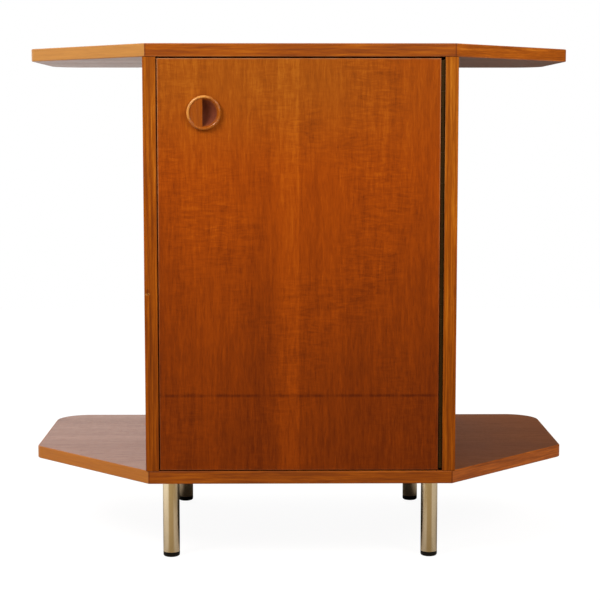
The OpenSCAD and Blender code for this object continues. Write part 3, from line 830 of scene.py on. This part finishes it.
def open_ring(axis, wall):
    """Opens a block along an axis: the two end faces are inset and bridged into a ring."""
    pick("FACE", lambda face: abs(face.normal[axis]) > 0.99)
    bpy.ops.mesh.inset(thickness=wall, depth=0)
    bpy.ops.mesh.delete(type="FACE")
    pick("EDGE", lambda edge: edge.is_boundary)
    bpy.ops.mesh.bridge_edge_loops()
    bpy.ops.mesh.select_all(action="SELECT")
    bpy.ops.mesh.normals_make_consistent(inside=False)


def inner_rim(axis):
    """A test for the edges between a ring's end face and its inside wall."""
    def test(edge):
        steep = sorted(abs(face.normal[axis]) for face in edge.link_faces)
        return steep[0] < 0.01 and steep[-1] > 0.99
    return test


def board_strip(name, node):
    low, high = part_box(node)
    piece = start_block(name, low, high)
    tip_y = low.y + TIP_BACK
    run = Vector((high.x - front_corner_x, TIP_BACK, 0))
    for side in (-1, 1):
        outward = Vector((side * run.y, -run.x, 0)).normalized()
        bpy.ops.mesh.select_all(action="SELECT")
        bpy.ops.mesh.bisect(plane_co=(side * front_corner_x, low.y, 0), plane_no=outward,
                            use_fill=True, clear_outer=True)
    slant = math.atan2(run.x, run.y)
    corners = ((tip_y, TIP_R, slant, 6), (high.y, BACK_R, math.pi / 2, 16))
    for y, radius, turn, segments in corners:
        pick("EDGE", lambda edge: along(edge, 2) and level(1, y)(edge))
        round_off(radius * math.tan(turn / 2), segments)
    pick("EDGE", at_either_end(2, low, high))
    # the rounded arrises are marked for wear and a painted highlight
    round_off(ARRIS, 4, wear=0.3)
    open_ring(2, BAND_T - ARRIS)
    pick("EDGE", inner_rim(2))
    round_off(0.25 * MM, 1, dirt=0.9)
    complete(piece, edge_level, "carcass", [node])


board_strip("top_strip", "top_edge_band")
board_strip("bottom_strip", "bottom_edge_band")

# %% [markdown]
# ## Lippings
# The front edges of the panels, the door and the shelf have thinner strips,
# 1.5 mm of the same wood. On the panels and the shelf they are straight: a
# block with its front arrises rounded. The left one gets a small chip, cut with
# a Boolean. The door has a lipping all round, stained like its face, so it
# shows only on its rounded arrises, which are paler where hands have rubbed
# them and carry a painted highlight as well. That one is a ring.

# %% Panel and shelf lippings
CHIP_SIZE = (3.2 * MM, 0.9 * MM, 1.5 * MM)


def chip_cutter():
    """A small lens that takes the chip out of the left lipping."""
    clear_selection()
    bpy.ops.mesh.primitive_uv_sphere_add(segments=14, ring_count=9, radius=1, location=CHIP,
                                         rotation=(0.3, 0.5, 0.2), scale=CHIP_SIZE)
    return begin("chip")


def straight_lipping(name, node, axis, wear):
    low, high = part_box(node)
    piece = start_block(name, low, high)
    pick("EDGE", lambda edge: along(edge, axis) and level(1, low.y)(edge))
    # the rounded front arrises are marked for wear and a painted highlight
    round_off(0.7 * MM, 3, wear=wear)
    end_edge = at_either_end(axis, low, high)
    pick("EDGE", lambda edge: end_edge(edge) and middle(edge).y < high.y - CLOSE)
    round_off(0.3 * MM, 1, dirt=0.8)
    return piece


left_lipping = straight_lipping("left_lipping", "side_lipping_left", 2, 0.2)
carve(left_lipping, chip_cutter())
complete(left_lipping, edge_up, "carcass", ["side_lipping_left"])
right_lipping = straight_lipping("right_lipping", "side_lipping_right", 2, 0.5)
complete(right_lipping, edge_up, "carcass", ["side_lipping_right"])
shelf_edge = straight_lipping("shelf_edge", "shelf_lipping", 0, 0.3)
complete(shelf_edge, edge_level, "carcass", ["shelf_lipping"])

# %% Door lipping
LIPPING_T = 1.5 * MM
DOOR_ARRIS = 0.5 * MM


def door_edge():
    low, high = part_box("door_lipping")
    piece = start_block("door_edge", low, high)
    pick("EDGE", lambda edge: level(1, low.y)(edge))
    # the rounded arrises are marked for wear and a painted highlight
    round_off(DOOR_ARRIS, 3, wear=0.75)
    pick("EDGE", lambda edge: level(1, high.y)(edge))
    round_off(DOOR_ARRIS, 3, wear=0.4)
    open_ring(1, LIPPING_T - DOOR_ARRIS)
    pick("EDGE", inner_rim(1))
    round_off(0.12 * MM, 1)
    complete(piece, door_teak, "door", ["door_lipping"])


door_edge()

# %% [markdown]
# ## The knob
# The knob is turned on a lathe: a disc with a round rim and a shallow flat
# face, and a spigot behind that is glued into the door. Then its right half is
# scooped out with a ball cutter, and the scoop runs a little way under the
# left half, so that fingers can hook behind the edge. A lathe is a spin: the
# profile is extruded point by point and spun about the knob's axis. The scoop
# isn't round about that axis, so it is cut with a Boolean.

# %% Turn the knob
KNOB_RIM = 3.5 * MM
RIM_ROUND = 2.5 * MM
KNOB_DROP = 1.2 * MM
SPIGOT_R = 19 * MM
SCOOP_DEPTH = 12.5 * MM
STEP_X = -2 * MM
UNDERCUT = 6 * MM
LIP_T = 3.3 * MM
face_y = door_low.y
knob_out = face_y - knob_low.y
spigot_len = knob_high.y - face_y


def rim_arc(centre_r, centre_out, radius, start, end, steps):
    """Points of an arc, as (radius, height), from a start to an end angle in degrees."""
    angles = [math.radians(start + (end - start) * i / steps) for i in range(steps + 1)]
    return [(centre_r + radius * math.cos(a), centre_out + radius * math.sin(a)) for a in angles]


def knob_outline():
    """(radius, height above the door) from the middle of the face to the spigot."""
    floor = knob_out - KNOB_DROP
    inside = rim_arc(knob_r - KNOB_RIM - 0.5 * MM, floor + 0.5 * MM, 0.5 * MM, 270, 330, 4)
    crest = rim_arc(knob_r - RIM_ROUND, knob_out - 1 * MM, 1 * MM, 160, 90, 6)
    rim = crest + rim_arc(knob_r - RIM_ROUND, knob_out - RIM_ROUND, RIM_ROUND, 80, 0, 10)
    foot = [(knob_r, 0.8 * MM), (knob_r - 0.3 * MM, 0.2 * MM), (knob_r - 0.8 * MM, 0)]
    spigot = [(SPIGOT_R, 0), (SPIGOT_R, -spigot_len), (0, -spigot_len)]
    return [(0, floor), (10 * MM, floor)] + inside + rim + foot + spigot


def spin_profile(name, points, centre, axis, steps):
    """Extrudes a profile point by point and spins it: (radius, height) about axis 1 or 2."""
    clear_selection()
    bpy.ops.mesh.primitive_plane_add(size=1, location=centre)
    piece = begin(name)
    pick("VERT", lambda v: True)
    bpy.ops.mesh.merge(type="CENTER")
    at = Vector(centre)
    for i, (radius, height) in enumerate(points):
        target = Vector(centre) + Vector((radius, -height, 0) if axis == 1 else (radius, 0, height))
        if i == 0:
            bpy.ops.transform.translate(value=target - at)
        else:
            bpy.ops.mesh.extrude_region_move(TRANSFORM_OT_translate={"value": target - at})
        at = target
    bpy.ops.mesh.select_all(action="SELECT")
    bpy.ops.mesh.spin(steps=steps, angle=math.tau, center=centre,
                      axis=(0, 1, 0) if axis == 1 else (0, 0, 1))
    bpy.ops.mesh.select_all(action="SELECT")
    bpy.ops.mesh.remove_doubles(threshold=0.005 * MM)
    bpy.ops.mesh.normals_make_consistent(inside=False)
    return piece


knob_seat = Vector((knob_centre.x, face_y, knob_centre.z))
knob = spin_profile("door_knob", knob_outline(), knob_seat, 1, 96)

# %% Scoop it out
scoop_r = knob_r - KNOB_RIM
ball_r = (scoop_r ** 2 + SCOOP_DEPTH ** 2) / (2 * SCOOP_DEPTH)
ball_out = knob_out - SCOOP_DEPTH + ball_r


def scoop_cutter():
    """The ball, cut flat at the end of the hook, less the half of the face that stays."""
    clear_selection()
    bpy.ops.mesh.primitive_uv_sphere_add(
        segments=96, ring_count=64, radius=ball_r, rotation=TURN[1],
        location=knob_seat + Vector((0, -ball_out, 0)))
    cutter = begin("scoop")
    bpy.ops.mesh.select_all(action="SELECT")
    bpy.ops.mesh.bisect(plane_co=knob_seat + Vector((STEP_X - UNDERCUT, 0, 0)), plane_no=(-1, 0, 0),
                        use_fill=True, clear_outer=True)
    bpy.ops.mesh.select_all(action="SELECT")
    bpy.ops.mesh.normals_make_consistent(inside=False)
    lip_under = knob_out - KNOB_DROP - LIP_T
    reach = 2 * ball_r
    lip = start_block("lip", knob_seat - Vector((reach, 2 * reach, reach)),
                      knob_seat + Vector((STEP_X, -lip_under, reach)))
    carve(cutter, lip)
    return cutter


carve(knob, scoop_cutter())
complete(knob, knob_teak, "door", ["knob"], smooth=30)

# %% [markdown]
# ## Screws
# The screws modelled here are slotted. There are two sorts: pan heads with a
# domed edge, and countersunk heads that lie flush. One screw is modelled with
# its head at the origin and its shank along +Z, then copied to each place.

# %% A screw and its slot
POINT_SHARE = 0.25
SLOT_SHARE = 0.22
SLOT_DEPTH_SHARE = 0.4


def plain_screw(name, head_r, head_h, shank_r, length, sunk):
    """Pan head: the head stands below z = 0. Sunk head: its flat face is at z = 0."""
    top = 0.0 if sunk else -head_h
    depth = head_r - shank_r if sunk else head_h
    screw = start_rod(name, (0, 0, top + depth / 2), head_r, depth, 2, 28)
    if sunk:
        pick("FACE", facing(2, 1))
        bpy.ops.transform.resize(value=(shank_r / head_r, shank_r / head_r, 1), center_override=(0, 0, 0))
    else:
        pick("EDGE", level(2, top))
        round_off(head_h * 0.45, 3)
        pick("FACE", facing(2, 1))
        bpy.ops.mesh.inset(thickness=head_r - shank_r, depth=0)
    shank = length - depth if sunk else length
    for part in (shank * (1 - POINT_SHARE), shank * POINT_SHARE):
        bpy.ops.mesh.extrude_region_move(TRANSFORM_OT_translate={"value": (0, 0, part)})
    bpy.ops.mesh.merge(type="CENTER")
    return screw


def slotted_screw(name, head_r, head_h, shank_r, length, sunk):
    screw = plain_screw(name, head_r, head_h, shank_r, length, sunk)
    slot_w = head_r * SLOT_SHARE
    for side in (-1, 1):
        pick("FACE", facing(2, -1))
        bpy.ops.mesh.bisect(plane_co=(0, side * slot_w / 2, 0), plane_no=(0, 1, 0))
    pick("FACE", lambda face: face.normal.z < -0.99 and abs(middle(face).y) < slot_w / 2)
    depth = (head_r - shank_r if sunk else head_h) * SLOT_DEPTH_SHARE
    bpy.ops.mesh.extrude_region_move(TRANSFORM_OT_translate={"value": (0, 0, depth)})
    return screw


def pointing(place, towards, twist=0.0):
    """A matrix that puts a screw's head at place with its shank along towards."""
    turn = Vector(towards).to_track_quat("Z", "Y").to_matrix().to_4x4()
    return Matrix.Translation(place) @ turn @ Matrix.Rotation(twist, 4, "Z")


TWIST = 1.1


def screws(name, node, body, finish, sizes, places, towards):
    """Copies one screw to each place, each with its slot turned a little further."""
    model = slotted_screw(name + "_model", *sizes)
    at = [pointing(place, towards, TWIST * i) for i, place in enumerate(places)]
    piece = join_copies(name, model, at)
    complete(piece, finish, body, [node])


# %% [markdown]
# ## The piano hinge
# A piano hinge is one long hinge: two thin strips whose edges are rolled round
# one pin, in turn, all the way up. The rolled knuckles fill most of the gap
# beside the door. One knuckle is modelled, copied up the pin, and joined to its
# strip. Knuckle 0 belongs to the cabinet, knuckle 1 to the door, and so on.

# %% Hinge leaves
KNUCKLES = 27
KNUCKLE_GAP = 0.3 * MM
LEAF_T = 1 * MM
LEAF_SCREWS = 7
PIN_BORE = 1.05 * MM
KNUCKLE_ROUND = 0.3 * MM
ARM_EASE = 0.03 * MM
ARM_OVERLAP = 0.1 * MM
HOLE_EASE = 0.05 * MM
HOLE_R = 1.25 * MM
HOLE_DEPTH = 4 * MM
hinge = Vector(frame["joints"][0]["pos_m"])
leaf_low, leaf_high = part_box("hinge_leaf_frame")
knuckle_r = hinge.y - leaf_low.y
pitch = (leaf_high.z - leaf_low.z + KNUCKLE_GAP) / KNUCKLES
knuckle_len = pitch - KNUCKLE_GAP


def knuckle_model(name, low, high):
    """One rolled knuckle with the short arm that joins it to the strip, about z = 0."""
    arm = start_block(name + "_arm", (low.x + ARM_EASE, hinge.y, -knuckle_len / 2),
                      (high.x - ARM_EASE, hinge.y + knuckle_r + KNUCKLE_GAP + ARM_OVERLAP,
                       knuckle_len / 2))
    knuckle = start_rod(name + "_knuckle", (hinge.x, hinge.y, 0), knuckle_r, knuckle_len, 2, 24)
    pick("EDGE", lambda edge: level(2, middle(edge).z)(edge))
    round_off(KNUCKLE_ROUND, 2)
    open_ring(2, knuckle_r - KNUCKLE_ROUND - PIN_BORE)
    combine(knuckle, arm, "UNION")
    return knuckle


def leaf_screw_places(node, side):
    """Where the screws of a leaf have the middle of their heads, and the head's radius."""
    low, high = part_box(node)
    head_r = (high.y - low.y) / 2
    run = high.z - low.z - 2 * head_r
    x = low.x if side > 0 else high.x
    return [Vector((x, low.y + head_r, low.z + head_r + run * i / (LEAF_SCREWS - 1)))
            for i in range(LEAF_SCREWS)], head_r


def hinge_leaf(name, node, screw_node, side, first, body):
    """side is 1 for the cabinet's leaf, at +X, and -1 for the door's."""
    low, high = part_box(node)
    left = high.x - LEAF_T if side > 0 else low.x
    strip_low = Vector((left, hinge.y + knuckle_r + KNUCKLE_GAP, leaf_low.z))
    strip_high = Vector((left + LEAF_T, high.y, leaf_high.z))
    leaf = start_block(name, strip_low, strip_high)
    pick("EDGE", lambda edge: along(edge, 2) and level(1, high.y)(edge))
    round_off(0.25 * MM, 2)
    places, head_r = leaf_screw_places(screw_node, side)
    hole = plain_screw("hole", head_r + HOLE_EASE, 0, HOLE_R, HOLE_DEPTH, True)
    sink = join_copies(name + "_holes", hole, [pointing(place, (side, 0, 0)) for place in places])
    carve(leaf, sink)
    model = knuckle_model(name, strip_low, strip_high)
    heights = [leaf_low.z - KNUCKLE_GAP / 2 + (i + 0.5) * pitch for i in range(first, KNUCKLES, 2)]
    lifts = [Matrix.Translation((0, 0, z)) for z in heights]
    combine(leaf, join_copies(name + "_knuckles", model, lifts), "UNION")
    complete(leaf, brass, body, [node])


hinge_leaf("cabinet_leaf", "hinge_leaf_frame", "hinge_screws_frame", 1, 0, "carcass")
hinge_leaf("door_leaf", "hinge_leaf_door", "hinge_screws_door", -1, 1, "door")

# %% Hinge screws
LEAF_SHANK_R = 1.2 * MM


def leaf_screws(name, node, side, body):
    low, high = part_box(node)
    places, head_r = leaf_screw_places(node, side)
    sizes = (head_r, 0, LEAF_SHANK_R, high.x - low.x, True)
    screws(name, node, body, brass, sizes, places, (side, 0, 0))


leaf_screws("cabinet_leaf_screws", "hinge_screws_frame", 1, "carcass")
leaf_screws("door_leaf_screws", "hinge_screws_door", -1, "door")

# %% [markdown]
# ## Legs
# A leg is a plated tube that screws onto a stud in a round steel plate under the
# board. A tube could be a cylinder with its ends taken off and a solidify
# modifier. Spun from its outline, like the knob, it gets its wall, its eased
# ends and the plug in its top in one go.

# %% Tubes
TUBE_WALL = 1.5 * MM
PLUG_H = 10 * MM
STUD_HOLE_R = 4 * MM


def box_radius(low, high):
    """The radius of an upright round piece, and the middle of its foot."""
    return (high.x - low.x) / 2, Vector(((low.x + high.x) / 2, (low.y + high.y) / 2, low.z))


def leg_tube(leg):
    low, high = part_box("leg_tube_" + leg)
    r, foot = box_radius(low, high)
    height = high.z - low.z
    bore = r - TUBE_WALL
    ease = 0.4 * MM
    outline = [(bore, 0), (r - ease, 0), (r - ease * 0.3, ease * 0.3), (r, ease), (r, height - ease),
               (r - ease * 0.3, height - ease * 0.3), (r - ease, height), (STUD_HOLE_R, height),
               (STUD_HOLE_R, height - PLUG_H), (bore, height - PLUG_H), (bore, 0)]
    piece = spin_profile("tube_" + leg, outline, foot, 2, 72)
    complete(piece, leg_plating, "carcass", ["leg_tube_" + leg])


for leg in LEGS:
    leg_tube(leg)

# %% [markdown]
# The black cap keeps the tube off the floor. It is a rod with a large round
# lower edge, whose top is inset and extruded into the plug that holds it in
# the tube.

# %% Foot caps
CAP_ROUND = 3 * MM
PLUG_ROUND = 0.8 * MM


def foot_cap(leg):
    node = "foot_cap_" + leg
    low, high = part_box(node)
    tube_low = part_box("leg_tube_" + leg)[0].z
    radius = (high.x - low.x) / 2
    centre = Vector(((low.x + high.x) / 2, (low.y + high.y) / 2, (low.z + tube_low) / 2))
    piece = start_rod("cap_" + leg, centre, radius, tube_low - low.z, 2, 64)
    pick("EDGE", level(2, low.z))
    round_off(CAP_ROUND, 6)
    pick("EDGE", level(2, tube_low))
    round_off(0.4 * MM, 2)
    pick("FACE", facing(2, 1))
    bpy.ops.mesh.inset(thickness=TUBE_WALL - 0.3 * MM, depth=0)
    bpy.ops.mesh.extrude_region_move(TRANSFORM_OT_translate={"value": (0, 0, high.z - tube_low)})
    pick("EDGE", level(2, high.z))
    round_off(PLUG_ROUND, 2)
    complete(piece, black_plastic, "carcass", [node])


for leg in LEGS:
    foot_cap(leg)

# %% [markdown]
# Each leg's plate is a disc with a round upper edge and a boss in its middle.
# It is spun as well. Three screws hold it to the board, the first of them
# towards the table's front or back edge.

# %% Mounting plates and their screws
PLATE_T = 2.5 * MM
PLATE_HOLES_R = 21.5 * MM
BOSS_R = 7 * MM


def leg_plate(leg):
    low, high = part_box("leg_plate_" + leg)
    r, foot = box_radius(low, high)
    ease = 1.2 * MM
    top = high.z - low.z
    outline = ([(STUD_HOLE_R, 0)] + rim_arc(r - ease, ease, ease, -90, 0, 4)
               + [(r, PLATE_T), (BOSS_R, PLATE_T), (BOSS_R, top), (STUD_HOLE_R, top), (STUD_HOLE_R, 0)])
    piece = spin_profile("plate_" + leg, outline, foot, 2, 56)
    complete(piece, zinc, "carcass", ["leg_plate_" + leg])
    away = math.pi / 2 if foot.y > 0 else -math.pi / 2
    angles = [away + i * math.tau / 3 for i in range(3)]
    return [foot + Vector((PLATE_HOLES_R * math.cos(a), PLATE_HOLES_R * math.sin(a), 0)) for a in angles]


plate_places = [place for leg in LEGS for place in leg_plate(leg)]
PLATE_SCREW = (3.8 * MM, 2 * MM, 1.95 * MM, 15.5 * MM, False)
screws("plate_screws", "leg_plate_screws", "carcass", zinc, PLATE_SCREW, plate_places, (0, 0, 1))

# %% [markdown]
# ## Inside the door
# A sewing table keeps its thread on the door. The rack is a plywood board with
# round corners and two rows of beech pegs, each with a domed end. Two screws
# hold it, and two more hold the strike plate of the magnetic catch.

# %% Thread rack
RACK_CORNER_R = 8 * MM


def thread_rack():
    low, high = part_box("thread_rack")
    piece = start_block("thread_board", low, high)
    pick("EDGE", lambda edge: along(edge, 1))
    round_off(RACK_CORNER_R, 8)
    pick("EDGE", level(1, high.y))
    round_off(1.2 * MM, 3)
    complete(piece, plywood_across, "door", ["thread_rack"])


PEG_R = 2.95 * MM
PEGS_IN_ROW = 6


def thread_pegs():
    low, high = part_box("thread_pegs")
    board_low, board_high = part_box("thread_rack")
    spacing = (board_high.x - board_low.x) / PEGS_IN_ROW
    model = start_rod("peg_model", (0, (low.y + high.y) / 2, 0), PEG_R, high.y - low.y, 1, 24)
    pick("EDGE", level(1, high.y))
    round_off(PEG_R * 0.85, 5)
    places = [Matrix.Translation((board_low.x + spacing * (i + 0.5), 0, z))
              for z in (low.z + PEG_R, high.z - PEG_R) for i in range(PEGS_IN_ROW)]
    piece = join_copies("pegs", model, places)
    complete(piece, beech_along, "door", ["thread_pegs"])


thread_rack()
thread_pegs()

# %% Rack and strike screws
def pair_of_screws(name, node, body, sizes, apart, into):
    """Two screws at the ends of their node's box along one axis, driven in against another."""
    low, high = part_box(node)
    head_r, head_h = sizes[:2]
    places = []
    for end, inward in ((low, 1), (high, -1)):
        place = (low + high) / 2
        place[apart] = end[apart] + inward * head_r
        place[into] = high[into] - head_h
        places.append(place)
    towards = Vector((0, 0, 0))
    towards[into] = -1
    screws(name, node, body, zinc, sizes, places, towards)


RACK_SCREW = (3.35 * MM, 0, 1.7 * MM, 18 * MM, True)
STRIKE_SCREW = (2.25 * MM, 0, 1.2 * MM, 12 * MM, True)
pair_of_screws("rack_screw_pair", "rack_screws", "door", RACK_SCREW, 0, 1)
pair_of_screws("strike_screw_pair", "strike_screws", "door", STRIKE_SCREW, 2, 1)

# %% [markdown]
# ## The magnetic catch
# A small plastic case on the left panel holds a magnet between two steel
# plates, which reach the strike on the door. The case is one block: its ends
# become the screw ears, its middle is extruded out, and the front of the
# middle is inset and pushed in to make the pocket.

# %% Catch case
EAR_T = 4 * MM
CASE_HALF_H = 16 * MM
POCKET_WALL = 1.8 * MM
CATCH_HEAD_H = 1.8 * MM


def catch_case():
    low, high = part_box("catch_housing")
    magnet_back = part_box("catch_magnet")[1].y
    middle_z = (low.z + high.z) / 2
    piece = start_block("catch_case", low, (low.x + EAR_T, high.y, high.z))
    for side in (-1, 1):
        bpy.ops.mesh.select_all(action="SELECT")
        bpy.ops.mesh.bisect(plane_co=(0, 0, middle_z + side * CASE_HALF_H), plane_no=(0, 0, 1))
    pick("FACE", lambda face: face.normal.x > 0.99 and abs(middle(face).z - middle_z) < CASE_HALF_H)
    bpy.ops.mesh.extrude_region_move(
        TRANSFORM_OT_translate={"value": (high.x - low.x - EAR_T, 0, 0)})
    pick("EDGE", lambda edge: level(0, high.x)(edge) or (along(edge, 1) and middle(edge).x > low.x + MM))
    round_off(0.6 * MM, 3)
    pick("FACE", lambda face: face.normal.y < -0.99 and abs(middle(face).z - middle_z) < CASE_HALF_H)
    bpy.ops.mesh.dissolve_faces()
    bpy.ops.mesh.inset(thickness=POCKET_WALL, depth=0)
    bpy.ops.mesh.extrude_region_move(TRANSFORM_OT_translate={"value": (0, magnet_back - low.y, 0)})
    complete(piece, ivory_plastic, "carcass", ["catch_housing"])


catch_case()
catch_low, catch_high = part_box("catch_screws")
CATCH_SCREW = (2.9 * MM, CATCH_HEAD_H, 1.4 * MM, catch_high.x - catch_low.x - CATCH_HEAD_H, False)
pair_of_screws("catch_screw_pair", "catch_screws", "carcass", CATCH_SCREW, 2, 0)

# %% [markdown]
# ## Last step
# The selection is cleared.

# %% Clear the selection
clear_selection()
